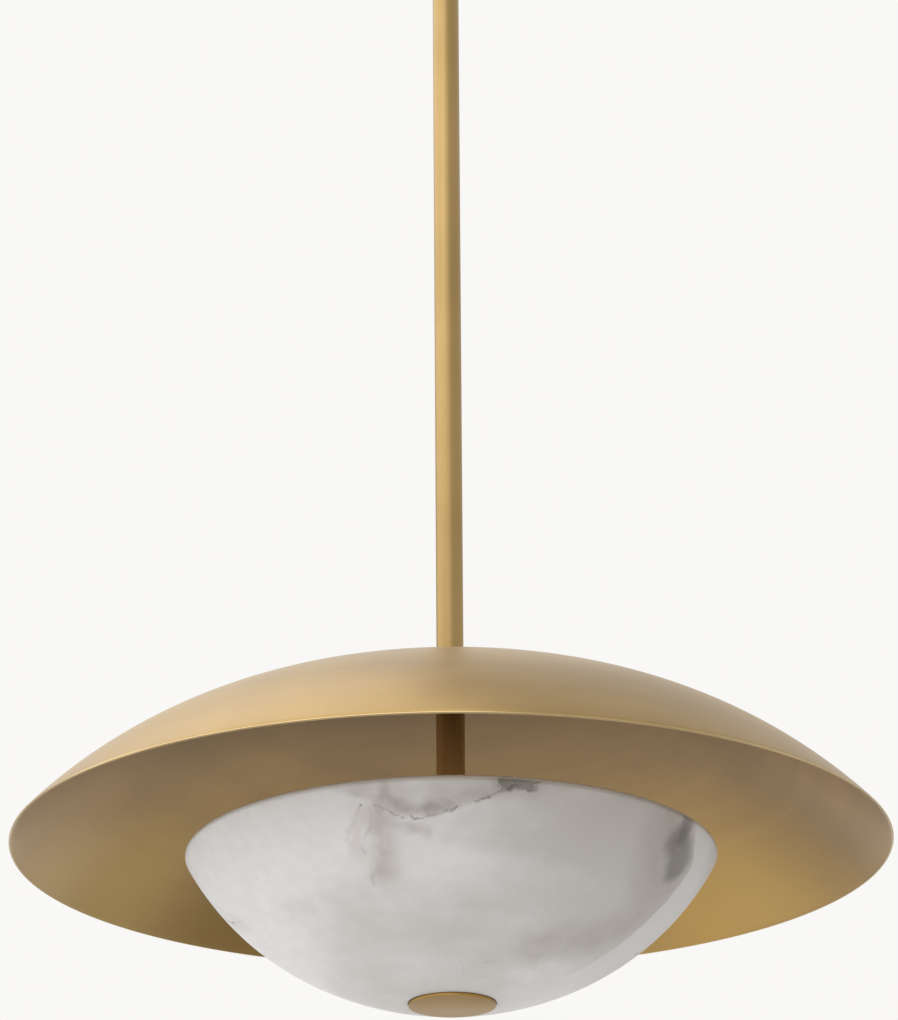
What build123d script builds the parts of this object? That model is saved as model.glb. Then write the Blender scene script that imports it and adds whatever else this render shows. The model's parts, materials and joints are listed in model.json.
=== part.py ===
"""Pendant light: a shallow spun brass dome over a turned alabaster bowl, on one rigid stem.

The dome is clamped between the foot of the stem and a flange. A hollow lamp pipe runs down from
the stem through the dome, a spacer tube, a hub with three lampholders and the floor of the bowl.
A round finial disc screwed on its lower end holds the bowl up. At the ceiling a ball swivel
under the crossbar lets the stem hang plumb from a sloping ceiling, and a collar on the swivel
holds the canopy. Origin: centre of the crossbar on the ceiling plane. +Z is up, so the light
hangs at negative Z. Millimetres.
"""
from build123d import *
from math import acos, asin, cos, degrees, radians, sin, sqrt
import os

# Fits
slip = 0.05       # radial room of a screwed or sleeved joint
running = 0.1     # radial room of the swivel's ball and liner
pass_room = 0.2   # radial room of the threaded pipe in the plates it passes through

# Crossbar: a joggled steel strap, screwed to the ceiling box through two slots
strap_length = 106.0
strap_width = 22.0
strap_thickness = 2.5
strap_drop = 8.0             # of the lowered middle
strap_bend_radius = 2.0
strap_corner_radius = 4.0
strap_seat_length = 40.0
strap_ramp_length = 7.0
box_slot_spacing = 80.0
box_slot_length = 18.0
box_slot_width = 5.0
ground_screw_diameter = 4.0
ground_screw_head = 7.0
ground_screw_head_height = 2.2
ground_screw_x = 14.0

# Threaded pipe, used for the hanger nipple, the lamp pipe and the lampholder nipples
pipe_diameter = 10.0
pipe_bore = 6.5
nut_across_flats = 14.0
nut_height = 4.0
lock_washer_diameter = 18.0
lock_washer_thickness = 1.0
thread_proud = 1.0           # pipe showing past a nut

# Ball swivel
ball_diameter = 30.0
ball_top_flat = 9.5          # above the ball's centre
ball_bottom_flat = 11.0      # below the ball's centre
liner_thickness = 1.5
liner_half_angle = 30.0
cup_roof = 6.0
cup_wall = 3.3
cup_top_diameter = 24.0
cup_shoulder_height = 9.0    # above the ball's centre
cup_skirt_length = 7.0       # below the ball's centre
collar_wall = 4.0
collar_mouth_diameter = 25.0
collar_mouth_flare = 2.5
collar_top_height = 1.2      # above the ball's centre
collar_edge_radius = 1.5

# Canopy: a spun brass dish over the crossbar, held up by the collar
canopy_diameter = 130.0
canopy_sheet = 1.2
canopy_edge_radius = 5.0
canopy_hole_room = 0.6

# Stem: a brass tube, screwed to the ball by a neck and to the lamp pipe by a plug
neck_diameter = 12.0
neck_length = 10.0
neck_cone_height = 3.5
stem_diameter = 19.0
stem_wall = 1.2
stem_length = 610.0
plug_length = 15.0
plug_thread_length = 12.0

# Dome: spun brass sheet, a flat crown arc running tangent into a tighter shoulder arc
dome_diameter = 610.0
dome_rise = 114.5
dome_sheet = 1.5
dome_crown_radius = 770.0
dome_crown_reach = 83.0
dome_flat_margin = 1.0       # of the clamped flat past the flange

# Flange under the crown, and the spacer tube below it
flange_diameter = 50.0
flange_thickness = 3.0
spigot_length = 3.0
spacer_diameter = 20.0
spacer_wall = 1.5

# Alabaster bowl, measured to the sharp corner of its lip before rounding
bowl_diameter = 371.6
bowl_depth = 108.7
bowl_wall = 10.0
bowl_floor_radius = 221.0
bowl_floor_reach = 103.0
bowl_below_rim = 2.8
bowl_outer_lip_radius = 3.5
bowl_inner_lip_radius = 2.5
bowl_hole_diameter = 18.0
bowl_seat_diameter = 62.0    # flat turned inside the floor

# What clamps the bowl
clamp_plate_diameter = 52.0
clamp_plate_thickness = 2.5
gasket_overhang = 2.0
upper_gasket_thickness = 1.5
lower_gasket_thickness = 0.8
finial_diameter = 60.0
finial_thickness = 2.6
finial_edge_radius = 0.5
finial_recess_room = 0.5
finial_boss_diameter = 16.0
finial_boss_gap = 0.3        # below the clamp plate
finial_floor = 1.5           # left under the blind thread

# Lamp hub inside the bowl
hub_diameter = 60.0
hub_height = 30.0
hub_flat_distance = 26.0     # of the lampholder flats from the axis
hub_cavity_diameter = 44.0
hub_floor = 3.0
hub_lid_thickness = 2.5
hub_edge_radius = 1.5
lamps_below_lip = 22.0
wire_hole_diameter = 5.0
lower_spacer_diameter = 14.0

# Lampholders and globe bulbs
lamp_count = 3
first_lamp_angle = -90.0
lampholder_diameter = 27.0
lampholder_length = 36.0
lampholder_back = 8.0
lampholder_edge_radius = 1.5
nipple_grip = 6.0            # of the nipple in the lampholder's back
shell_wall = 0.8
shell_length = 24.0
shell_inset = 2.0            # of the shell behind the lampholder's mouth
contact_diameter = 9.0
contact_flange = 1.2
bulb_cap_diameter = 13.8
bulb_cap_length = 24.0       # from the lampholder's mouth to the tip
bulb_tip_diameter = 6.0
bulb_tip_height = 1.5
bulb_cone_height = 4.5
bulb_skirt_height = 2.0
bulb_neck_diameter = 16.0
bulb_diameter = 45.0
bulb_centre = 29.0           # from the lampholder's mouth
bulb_flare_radius = 6.0
bulb_glass = 1.0

# Radii that follow
pipe_radius = pipe_diameter / 2
pipe_bore_radius = pipe_bore / 2
thread_radius = pipe_radius + slip
pass_radius = pipe_radius + pass_room
ball_radius = ball_diameter / 2
liner_inner_radius = ball_radius + running
liner_outer_radius = liner_inner_radius + liner_thickness
seat_radius = liner_outer_radius + running
cup_radius = seat_radius + cup_wall
collar_inner_radius = cup_radius + slip
collar_radius = collar_inner_radius + collar_wall
stem_radius = stem_diameter / 2
plug_radius = stem_radius - stem_wall - slip
spacer_bore_radius = spacer_diameter / 2 - spacer_wall
finial_radius = finial_diameter / 2
recess_radius = finial_radius + finial_recess_room
bowl_hole_radius = bowl_hole_diameter / 2
cap_radius = bulb_cap_diameter / 2
shell_inner_radius = cap_radius + slip
shell_outer_radius = shell_inner_radius + shell_wall
lampholder_bore_radius = shell_outer_radius + slip

# Heights that follow, from the ceiling down
strap_seat_z = -strap_drop
cup_top_z = strap_seat_z - strap_thickness
swivel_z = cup_top_z - cup_roof - seat_radius
canopy_z = swivel_z + collar_top_height
neck_top_z = swivel_z - ball_bottom_flat
stem_top_z = neck_top_z - neck_length
stem_foot_z = stem_top_z - stem_length
rim_z = stem_foot_z - dome_rise
dome_flat_radius = flange_diameter / 2 + dome_flat_margin
flange_top_z = stem_foot_z - dome_sheet
flange_foot_z = flange_top_z - flange_thickness
lip_z = rim_z - bowl_below_rim
bowl_low_z = lip_z - bowl_depth
floor_z = bowl_low_z + bowl_wall
recess_z = bowl_low_z + finial_thickness + lower_gasket_thickness
clamp_foot_z = floor_z + upper_gasket_thickness
clamp_top_z = clamp_foot_z + clamp_plate_thickness
pipe_foot_z = bowl_low_z + finial_floor + slip
lamp_z = lip_z - lamps_below_lip
hub_top_z = lamp_z + hub_height / 2
hub_foot_z = hub_top_z - hub_height
lid_top_z = hub_top_z + hub_lid_thickness
nut_foot_z = clamp_top_z
nut_top_z = nut_foot_z + nut_height

# Distances that follow, outwards along a lamp's arm
lampholder_mouth = hub_flat_distance + lampholder_length
cap_tip = lampholder_mouth - bulb_cap_length
contact_seat = hub_flat_distance + lampholder_back
lamp_angles = [first_lamp_angle + k * 360 / lamp_count for k in range(lamp_count)]


def at(r, z):
    """A point on the XZ plane, where every turned piece is drawn."""
    return Vector(r, 0, z)


def arc(centre, radius, start, end):
    """An arc on the XZ plane between two elevation angles in degrees."""
    def on_circle(angle):
        return at(centre[0] + radius * cos(radians(angle)), centre[1] + radius * sin(radians(angle)))
    return ThreePointArc(on_circle(start), on_circle((start + end) / 2), on_circle(end))


def chain(*points):
    """Straight edges through (radius, height) points."""
    corners = [at(r, z) for r, z in points]
    return [Line(a, b) for a, b in zip(corners, corners[1:])]


def turned(edges):
    """A solid turned about Z from the edges of a closed outline."""
    return revolve(make_face(edges), Axis.Z)


def turned_outline(*points):
    """A solid turned about Z from a closed outline of straight edges."""
    return turned(chain(*points, points[0]))


def tube(radius, bore_radius, top, foot):
    """A round tube about Z between two heights."""
    return turned_outline((bore_radius, foot), (radius, foot), (radius, top), (bore_radius, top))


def rod(radius, top, foot):
    """A round bar about Z between two heights, for cutting."""
    return Pos(0, 0, foot) * extrude(Circle(radius), top - foot)


def sheet(path, thickness, side):
    """The outline of a bent or spun sheet whose show face follows an open path."""
    return offset(Wire(path), amount=thickness, side=side, closed=True).edges()


def rings_at(solid, z):
    """The round edges of a turned solid at one height, the smallest first."""
    return solid.edges().filter_by_position(Axis.Z, z - slip, z + slip).sort_by(SortBy.LENGTH)


def hex_nut(foot):
    """A hexagon nut on the threaded pipe."""
    outline = RegularPolygon(nut_across_flats / 2, 6, major_radius=False) - Circle(thread_radius)
    return Pos(0, 0, foot) * extrude(outline, nut_height)


def on_arms(piece):
    """Copies of a piece turned about Z, laid out along each lamp's arm."""
    return [Pos(0, 0, lamp_z) * Rot(0, 0, angle) * Rot(0, 90, 0) * piece for angle in lamp_angles]


def write(node, *solids):
    """Write one node's solid, or its group of separate solids."""
    shape = solids[0] if len(solids) == 1 else Compound(children=list(solids))
    shape.label = node
    export_step(shape, f"parts/{node}.step")


def crossbar():
    """The joggled strap with its two box slots, the nipple's hole and the ground screw's hole."""
    seat_end = strap_seat_length / 2
    ramp_end = seat_end + strap_ramp_length
    end = strap_length / 2
    path = FilletPolyline(
        at(-end, 0), at(-ramp_end, 0), at(-seat_end, strap_seat_z),
        at(seat_end, strap_seat_z), at(ramp_end, 0), at(end, 0),
        radius=strap_bend_radius,
    )
    profile = make_face(sheet(path, strap_thickness, Side.RIGHT))
    strap = extrude(profile, strap_width / 2, both=True)
    strap = fillet(strap.edges().filter_by(Axis.Z).group_by(Axis.X)[0], strap_corner_radius)
    strap = fillet(strap.edges().filter_by(Axis.Z).group_by(Axis.X)[-1], strap_corner_radius)
    slot = extrude(SlotOverall(box_slot_length, box_slot_width), strap_drop, both=True)
    for x in (-box_slot_spacing / 2, box_slot_spacing / 2):
        strap -= Pos(x, 0, 0) * slot
    strap -= rod(pass_radius, 0, cup_top_z)
    strap -= Pos(ground_screw_x, 0, 0) * rod(ground_screw_diameter / 2 + slip, 0, cup_top_z)
    return strap


def ground_screw():
    """A domed screw for the earth lead, through the crossbar beside the swivel."""
    shank = rod(ground_screw_diameter / 2, strap_seat_z, cup_top_z)
    head = rod(ground_screw_head / 2, strap_seat_z + ground_screw_head_height, strap_seat_z)
    crown = rings_at(head, strap_seat_z + ground_screw_head_height)
    return Pos(ground_screw_x, 0, 0) * (fillet(crown, ground_screw_head_height / 2) + shank)


def hanger_nipple():
    """The threaded nipple that hangs the swivel's cup from the crossbar."""
    top = strap_seat_z + lock_washer_thickness + nut_height + thread_proud
    return tube(pipe_radius, pipe_bore_radius, top, cup_top_z - cup_roof)


def hanger_washer():
    return tube(lock_washer_diameter / 2, pass_radius, strap_seat_z + lock_washer_thickness, strap_seat_z)


def hanger_nut():
    return hex_nut(strap_seat_z + lock_washer_thickness)


def swivel_cup():
    """The upper half of the swivel's socket: a spherical seat over a straight threaded skirt."""
    roof_angle = degrees(acos(thread_radius / seat_radius))
    roof_z = seat_radius * sin(radians(roof_angle))
    top = seat_radius + cup_roof
    outline = [arc((0, 0), seat_radius, roof_angle, 0)]
    outline += chain(
        (seat_radius, 0), (seat_radius, -cup_skirt_length), (cup_radius, -cup_skirt_length),
        (cup_radius, cup_shoulder_height), (cup_top_diameter / 2, top), (thread_radius, top),
        (thread_radius, roof_z),
    )
    return Pos(0, 0, swivel_z) * turned(outline)


def swivel_collar():
    """The lower half of the socket, screwed on the cup, whose top face carries the canopy."""
    mouth_radius = collar_mouth_diameter / 2
    shelf_angle = -degrees(asin(cup_skirt_length / seat_radius))
    mouth_angle = -degrees(acos(mouth_radius / seat_radius))
    shelf_radius = seat_radius * cos(radians(shelf_angle))
    mouth_z = seat_radius * sin(radians(mouth_angle))
    foot = mouth_z - collar_mouth_flare
    outline = [arc((0, 0), seat_radius, mouth_angle, shelf_angle)]
    outline += chain(
        (shelf_radius, -cup_skirt_length), (collar_inner_radius, -cup_skirt_length),
        (collar_inner_radius, collar_top_height), (collar_radius, collar_top_height),
        (collar_radius, foot), (mouth_radius + collar_mouth_flare, foot), (mouth_radius, mouth_z),
    )
    collar = turned(outline)
    return Pos(0, 0, swivel_z) * fillet(rings_at(collar, foot)[-1], collar_edge_radius)


def swivel_liner():
    """The nylon ring between ball and socket."""
    outer = arc((0, 0), liner_outer_radius, -liner_half_angle, liner_half_angle)
    inner = arc((0, 0), liner_inner_radius, liner_half_angle, -liner_half_angle)
    ring = turned([outer, Line(outer @ 1, inner @ 0), inner, Line(inner @ 1, outer @ 0)])
    return Pos(0, 0, swivel_z) * ring


def swivel_ball():
    """The ball, flat at both poles and threaded through for the neck."""
    top_angle = degrees(asin(ball_top_flat / ball_radius))
    foot_angle = -degrees(asin(ball_bottom_flat / ball_radius))
    side = arc((0, 0), ball_radius, foot_angle, top_angle)
    bore = chain(
        ((side @ 1).X, ball_top_flat), (thread_radius, ball_top_flat),
        (thread_radius, -ball_bottom_flat), ((side @ 0).X, -ball_bottom_flat),
    )
    return Pos(0, 0, swivel_z) * turned([side] + bore)


def canopy():
    """The dish, from the hole over the cup to its edge on the ceiling."""
    path = FilletPolyline(
        at(cup_radius + canopy_hole_room, canopy_z), at(canopy_diameter / 2, canopy_z),
        at(canopy_diameter / 2, 0), radius=canopy_edge_radius,
    )
    return turned(sheet(path, canopy_sheet, Side.RIGHT))


def stem_neck():
    """The turned neck that joins the ball to the top of the stem."""
    spigot_top = swivel_z + ball_top_flat - thread_proud
    return turned_outline(
        (pipe_bore_radius, spigot_top), (pipe_radius, spigot_top), (pipe_radius, neck_top_z),
        (neck_diameter / 2, neck_top_z), (neck_diameter / 2, stem_top_z + neck_cone_height),
        (stem_radius, stem_top_z), (plug_radius, stem_top_z),
        (plug_radius, stem_top_z - plug_length), (pipe_bore_radius, stem_top_z - plug_length),
    )


def stem():
    return tube(stem_radius, stem_radius - stem_wall, stem_top_z, stem_foot_z)


def stem_plug():
    """The plug brazed in the stem's foot, threaded for the lamp pipe."""
    thread_top = stem_foot_z + plug_thread_length
    plug_top = stem_foot_z + plug_length
    return turned_outline(
        (thread_radius, stem_foot_z), (plug_radius, stem_foot_z), (plug_radius, plug_top),
        (pipe_bore_radius, plug_top), (pipe_bore_radius, thread_top), (thread_radius, thread_top),
    )


def dome():
    """The spun shade: a clamped flat, the crown arc and the shoulder arc down to a square-cut rim."""
    apex_z = stem_foot_z + dome_crown_radius - sqrt(dome_crown_radius ** 2 - dome_flat_radius ** 2)
    centre = (0, apex_z - dome_crown_radius)
    flat_angle = degrees(acos(dome_flat_radius / dome_crown_radius))
    shoulder_angle = degrees(acos(dome_crown_reach / dome_crown_radius))
    crown = arc(centre, dome_crown_radius, flat_angle, shoulder_angle)
    shoulder = TangentArc(crown @ 1, at(dome_diameter / 2, rim_z), tangent=crown % 1)
    flat = Line(at(pass_radius, stem_foot_z), crown @ 0)
    return turned(sheet([flat, crown, shoulder], dome_sheet, Side.RIGHT))


def dome_flange():
    """The flange that clamps the crown from below, with a spigot for the spacer tube."""
    return turned_outline(
        (thread_radius, flange_top_z), (flange_diameter / 2, flange_top_z),
        (flange_diameter / 2, flange_foot_z), (spacer_bore_radius - slip, flange_foot_z),
        (spacer_bore_radius - slip, flange_foot_z - spigot_length),
        (thread_radius, flange_foot_z - spigot_length),
    )


def spacer_tube():
    """The tube that shows between the dome and the bowl."""
    return tube(spacer_diameter / 2, spacer_bore_radius, flange_foot_z, lid_top_z)


def hub_lid():
    """The lid of the lamp hub, with a spigot that centres the spacer tube."""
    lid = turned_outline(
        (pass_radius, hub_top_z), (hub_diameter / 2, hub_top_z), (hub_diameter / 2, lid_top_z),
        (spacer_bore_radius - slip, lid_top_z), (spacer_bore_radius - slip, lid_top_z + spigot_length),
        (pass_radius, lid_top_z + spigot_length),
    )
    return fillet(rings_at(lid, lid_top_z)[-1], hub_edge_radius)


def hub_body():
    """The round lamp box: a cavity from above, and a flat and a tapped hole for each lampholder."""
    body = rod(hub_diameter / 2, hub_top_z, hub_foot_z)
    body = fillet(rings_at(body, hub_foot_z), hub_edge_radius)
    body -= rod(hub_cavity_diameter / 2, hub_top_z, hub_foot_z + hub_floor)
    body -= rod(pass_radius, hub_top_z, hub_foot_z)
    beyond = rod(hub_diameter, hub_diameter, hub_flat_distance)
    tapped = rod(thread_radius, hub_flat_distance, 0)
    for flat in on_arms(beyond):
        body -= flat
    for hole in on_arms(tapped):
        body -= hole
    return body


def lower_spacer():
    """The spacer between the hub and the nut above the bowl's clamp plate."""
    return tube(lower_spacer_diameter / 2, pass_radius, hub_foot_z, nut_top_z)


def stack_nut():
    """The nut that draws the dome, flange, spacer and hub together."""
    return hex_nut(nut_foot_z)


def lamp_pipe():
    """The threaded pipe through the light, with a cross hole for the leads inside the hub."""
    pipe = tube(pipe_radius, pipe_bore_radius, stem_foot_z + plug_thread_length, pipe_foot_z)
    cross_hole = extrude(Circle(wire_hole_diameter / 2), pipe_diameter, both=True)
    return pipe - Pos(0, 0, lamp_z) * Rot(0, 90, 0) * cross_hole


def clamp_plate():
    return tube(clamp_plate_diameter / 2, thread_radius, clamp_top_z, clamp_foot_z)


def upper_gasket():
    radius = clamp_plate_diameter / 2 + gasket_overhang
    return tube(radius, bowl_hole_radius, clamp_foot_z, floor_z)


def lower_gasket():
    return tube(finial_radius - gasket_overhang, bowl_hole_radius, recess_z, bowl_low_z + finial_thickness)


def bowl():
    """The bowl: two tangent arcs outside, the same set in by the wall, a seat, a recess and a hole."""
    floor_centre = (0, bowl_low_z + bowl_floor_radius)
    floor_angle = -degrees(acos(bowl_floor_reach / bowl_floor_radius))
    floor = arc(floor_centre, bowl_floor_radius, -90, floor_angle)
    side = TangentArc(floor @ 1, at(bowl_diameter / 2, lip_z), tangent=floor % 1)
    block = turned([floor, side] + chain((bowl_diameter / 2, lip_z), (0, lip_z), (0, bowl_low_z)))

    side_centre = (side.arc_center.X, side.arc_center.Z)
    inner_side = arc(side_centre, side.radius - bowl_wall, floor_angle, 0)
    inner_floor = arc(floor_centre, bowl_floor_radius - bowl_wall, -90, floor_angle)
    top = inner_side @ 1
    hollow = turned([inner_floor, inner_side] + chain((top.X, top.Z), (0, top.Z), (0, floor_z)))

    stone = block - hollow
    lip = rings_at(stone, lip_z)
    stone = fillet(lip[-1], bowl_outer_lip_radius)
    stone = fillet(rings_at(stone, lip_z)[0], bowl_inner_lip_radius)
    stone -= rod(bowl_seat_diameter / 2, lip_z, floor_z)
    stone -= rod(recess_radius, recess_z, bowl_low_z - slip)
    return stone - rod(bowl_hole_radius, lip_z, bowl_low_z)


def finial():
    """The disc under the bowl, with a boss tapped blind for the lamp pipe."""
    disc_top = bowl_low_z + finial_thickness
    boss_top = clamp_foot_z - finial_boss_gap
    thread_foot = bowl_low_z + finial_floor
    disc = turned_outline(
        (0, bowl_low_z), (finial_radius, bowl_low_z), (finial_radius, disc_top),
        (finial_boss_diameter / 2, disc_top), (finial_boss_diameter / 2, boss_top),
        (thread_radius, boss_top), (thread_radius, thread_foot), (0, thread_foot),
    )
    return fillet(rings_at(disc, bowl_low_z)[-1], finial_edge_radius)


def lampholder():
    """The porcelain lampholder, bored for its shell and tapped at the back for its nipple."""
    holder = turned_outline(
        (thread_radius, hub_flat_distance), (lampholder_diameter / 2, hub_flat_distance),
        (lampholder_diameter / 2, lampholder_mouth), (lampholder_bore_radius, lampholder_mouth),
        (lampholder_bore_radius, contact_seat), (pipe_bore_radius, contact_seat),
        (pipe_bore_radius, hub_flat_distance + nipple_grip),
        (thread_radius, hub_flat_distance + nipple_grip),
    )
    return fillet(rings_at(holder, lampholder_mouth), lampholder_edge_radius)


def lampholder_nipple():
    """The short threaded nipple between the hub and a lampholder."""
    return tube(pipe_radius, pipe_bore_radius, hub_flat_distance + nipple_grip, hub_cavity_diameter / 2)


def lampholder_shell():
    """The brass screw shell that grips the bulb's cap."""
    mouth = lampholder_mouth - shell_inset
    return tube(shell_outer_radius, shell_inner_radius, mouth, mouth - shell_length)


def lampholder_contact():
    """The sprung centre contact between the lampholder's back and the bulb's tip."""
    flange_top = contact_seat + contact_flange
    return turned_outline(
        (0, contact_seat), (contact_diameter / 2, contact_seat), (contact_diameter / 2, flange_top),
        (bulb_tip_diameter / 2, flange_top), (bulb_tip_diameter / 2, cap_tip), (0, cap_tip),
    )


def bulb_cap():
    """The bulb's screw cap, from its skirt at the glass to its tip."""
    cone_foot = cap_tip + bulb_tip_height
    skirt_top = lampholder_mouth + bulb_skirt_height
    return turned_outline(
        (0, cap_tip), (bulb_tip_diameter / 2, cap_tip), (bulb_tip_diameter / 2, cone_foot),
        (cap_radius, cone_foot + bulb_cone_height), (cap_radius, lampholder_mouth),
        (bulb_neck_diameter / 2, skirt_top - bulb_glass), (bulb_neck_diameter / 2, skirt_top),
        (0, skirt_top),
    )


def bulb_globe():
    """The opal glass envelope: a globe flaring from its neck."""
    foot = lampholder_mouth + bulb_skirt_height
    centre = lampholder_mouth + bulb_centre

    def filled(inset, flare):
        neck = bulb_neck_diameter / 2 - inset
        radius = bulb_diameter / 2 - inset
        meeting = centre - sqrt(radius ** 2 - neck ** 2)
        globe = arc((0, centre), radius, -degrees(acos(neck / radius)), 90)
        body = turned(chain((0, foot), (neck, foot), (neck, meeting)) + [globe]
                      + chain((0, centre + radius), (0, foot)))
        return fillet(rings_at(body, meeting), flare)
    return filled(0, bulb_flare_radius) - filled(bulb_glass, bulb_flare_radius + bulb_glass)


os.makedirs("parts", exist_ok=True)

write("crossbar", crossbar())
write("ground_screw", ground_screw())
write("hanger_nipple", hanger_nipple())
write("hanger_washer", hanger_washer())
write("hanger_nut", hanger_nut())
write("swivel_cup", swivel_cup())
write("swivel_collar", swivel_collar())
write("swivel_liner", swivel_liner())
write("swivel_ball", swivel_ball())
write("canopy", canopy())
write("stem_neck", stem_neck())
write("stem", stem())
write("stem_plug", stem_plug())
write("dome", dome())
write("dome_flange", dome_flange())
write("spacer_tube", spacer_tube())
write("lamp_pipe", lamp_pipe())
write("hub_lid", hub_lid())
write("hub_body", hub_body())
write("lower_spacer", lower_spacer())
write("stack_nut", stack_nut())
write("clamp_plate", clamp_plate())
write("upper_gasket", upper_gasket())
write("bowl", bowl())
write("lower_gasket", lower_gasket())
write("finial", finial())
write("lampholders", *on_arms(lampholder()))
write("lampholder_nipples", *on_arms(lampholder_nipple()))
write("lampholder_shells", *on_arms(lampholder_shell()))
write("lampholder_contacts", *on_arms(lampholder_contact()))
for number, cap in enumerate(on_arms(bulb_cap()), start=1):
    write(f"bulb_{number}_cap", cap)
for number, globe in enumerate(on_arms(bulb_globe()), start=1):
    write(f"bulb_{number}_globe", globe)
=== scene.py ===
# %% [markdown]
# # A brass and alabaster pendant light
# The light hangs from a ceiling: a canopy, a ball swivel, one brass stem, a wide shallow brass
# dome, and under it an alabaster bowl held by a brass disc. The measured model comes in first as
# a fixed frame, and every piece made here is fitted to it, in metres.
# %% Load the measured model
import bpy
import bmesh
import json
from math import acos, asin, cos, degrees, pi, radians, sin, sqrt
from mathutils import Matrix, Vector


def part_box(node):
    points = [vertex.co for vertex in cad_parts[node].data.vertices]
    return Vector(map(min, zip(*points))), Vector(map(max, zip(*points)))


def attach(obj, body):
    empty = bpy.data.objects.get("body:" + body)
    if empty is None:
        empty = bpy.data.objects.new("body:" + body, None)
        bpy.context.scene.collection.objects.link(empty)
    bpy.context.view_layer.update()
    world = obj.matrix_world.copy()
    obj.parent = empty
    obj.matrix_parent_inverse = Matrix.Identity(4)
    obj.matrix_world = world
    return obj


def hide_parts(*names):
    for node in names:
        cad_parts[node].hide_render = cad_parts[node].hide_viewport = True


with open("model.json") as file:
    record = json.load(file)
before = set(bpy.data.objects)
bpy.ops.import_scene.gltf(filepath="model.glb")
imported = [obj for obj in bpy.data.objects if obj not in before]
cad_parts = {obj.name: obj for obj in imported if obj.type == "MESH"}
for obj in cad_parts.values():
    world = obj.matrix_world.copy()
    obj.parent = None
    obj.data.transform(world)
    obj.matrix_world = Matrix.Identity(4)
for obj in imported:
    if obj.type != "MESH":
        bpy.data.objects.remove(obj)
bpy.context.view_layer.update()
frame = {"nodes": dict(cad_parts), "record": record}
slot_of = {part["node"]: part["material_slot"] for part in frame["record"]["subparts"]}
bodies = frame["record"]["behaviour"]["bodies"]
body_of = {node: body for body, nodes in bodies.items() for node in nodes}
print("nodes:", len(frame["nodes"]))

# %% [markdown]
# ## Measures
# The frame gives each node's box at rest. A turned piece's radius is better read from its mesh,
# because the box of a round piece is only as exact as its facets.
# %% Read heights and radii from the frame
def top_of(node):
    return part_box(node)[1].z


def foot_of(node):
    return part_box(node)[0].z


def radius_of(node):
    """The largest distance of a node from the light's axis."""
    return max(vertex.co.xy.length for vertex in frame["nodes"][node].data.vertices)


# %% [markdown]
# ## The camera first
# The photograph looks up at the light from below, from far off with a long lens, so that the
# dome's mouth is a shallow ellipse. The distance, height and tilt were found by fitting the
# outlines of the dome's rim, the bowl's lip and the stem. The picture leans by a fraction of a
# degree, and the camera is rolled to match.
# %% Place the camera
photo_height = 1020                # pixels
focal_pixels = 5242.2
camera_distance = 3.626            # from the centre of the dome's mouth
camera_rise = radians(16.68)       # how far below the mouth the camera stands, as an angle
camera_pitch = radians(20.388)     # how far it looks up
camera_roll = radians(-0.382)
sensor = 36.0                      # millimetres, along the picture's height
rim_corner = 0.00103               # how much lower the inner corner of a square-cut rim hangs

mouth_z = foot_of("dome") + rim_corner
camera_data = bpy.data.cameras.new("camera")
camera_data.sensor_fit = "VERTICAL"
camera_data.sensor_height = sensor
camera_data.lens = sensor * focal_pixels / photo_height
camera_data.clip_end = 50
camera = bpy.data.objects.new("camera", camera_data)
bpy.context.scene.collection.objects.link(camera)
camera_place = Vector((0, -cos(camera_rise), -sin(camera_rise))) * camera_distance
camera.matrix_world = (
    Matrix.Translation(camera_place + Vector((0, 0, mouth_z)))
    @ Matrix.Rotation(pi / 2 + camera_pitch, 4, "X")
    @ Matrix.Rotation(camera_roll, 4, "Z")
)
bpy.context.scene.camera = camera
print(f"camera: {camera_data.lens:.1f} mm lens, mouth at {mouth_z:.4f} m")

# %% [markdown]
# ## Maths on shader sockets
# A finish is a formula over the surface. Written as wires between nodes, a formula is hard to
# read, so one small class wraps a socket and gives it Python's operators: each operator adds the
# Math node that it stands for. Anything that isn't arithmetic comes from one method, `node`.
# %% A socket that does arithmetic
class Field:
    """A number or vector that varies over a surface."""

    def __init__(self, finish, socket):
        self.finish = finish
        self.socket = socket

    def _math(self, operation, first, second=0.0):
        return self.finish.node("ShaderNodeMath", {"operation": operation}, {0: first, 1: second})

    def __add__(self, other):
        return self._math("ADD", self, other)

    def __radd__(self, other):
        return self._math("ADD", other, self)

    def __sub__(self, other):
        return self._math("SUBTRACT", self, other)

    def __rsub__(self, other):
        return self._math("SUBTRACT", other, self)

    def __mul__(self, other):
        return self._math("MULTIPLY", self, other)

    def __truediv__(self, other):
        return self._math("DIVIDE", self, other)

    def __abs__(self):
        return self._math("ABSOLUTE", self)

    def least(self, other):
        return self._math("MINIMUM", self, other)

    def most(self, other):
        return self._math("MAXIMUM", self, other)

    def root(self):
        return self._math("SQRT", self)

    def ramp(self, low, high):
        """0 at low and 1 at high, with a smooth step between. Low may be the larger of the two."""
        return self.finish.node(
            "ShaderNodeMapRange", {"interpolation_type": "SMOOTHSTEP"},
            {"Value": self, "From Min": low, "From Max": high},
        )


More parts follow.
